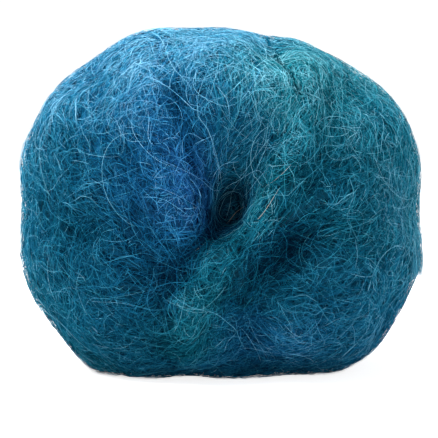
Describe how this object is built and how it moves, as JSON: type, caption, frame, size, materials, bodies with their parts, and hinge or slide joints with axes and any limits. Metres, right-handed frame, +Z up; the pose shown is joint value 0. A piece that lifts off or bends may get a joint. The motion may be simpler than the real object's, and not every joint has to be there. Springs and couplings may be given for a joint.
{
  "type": "yarn ball",
  "caption": "Ball of fluffy brushed yarn, wound around a spindle, with a funnel-shaped hollow in each face and a small flat spot that it rests on.",
  "frame": {"origin": "middle of the ball's outer box, at the bottom, on the surface that it rests on", "axes": "+Z up, Y along the hollow that the spindle leaves, with the face that has the raised bundle towards -Y, and +X to the right when that face is looked at"},
  "size_m": [0.1192, 0.091, 0.1018],
  "materials": {
    "yarn": "fluffy brushed fibre, matt, in runs of petrol, teal and blue"
  },
  "bodies": {
    "root": {"yarn_ball": "yarn"}
  },
  "joints": []
}
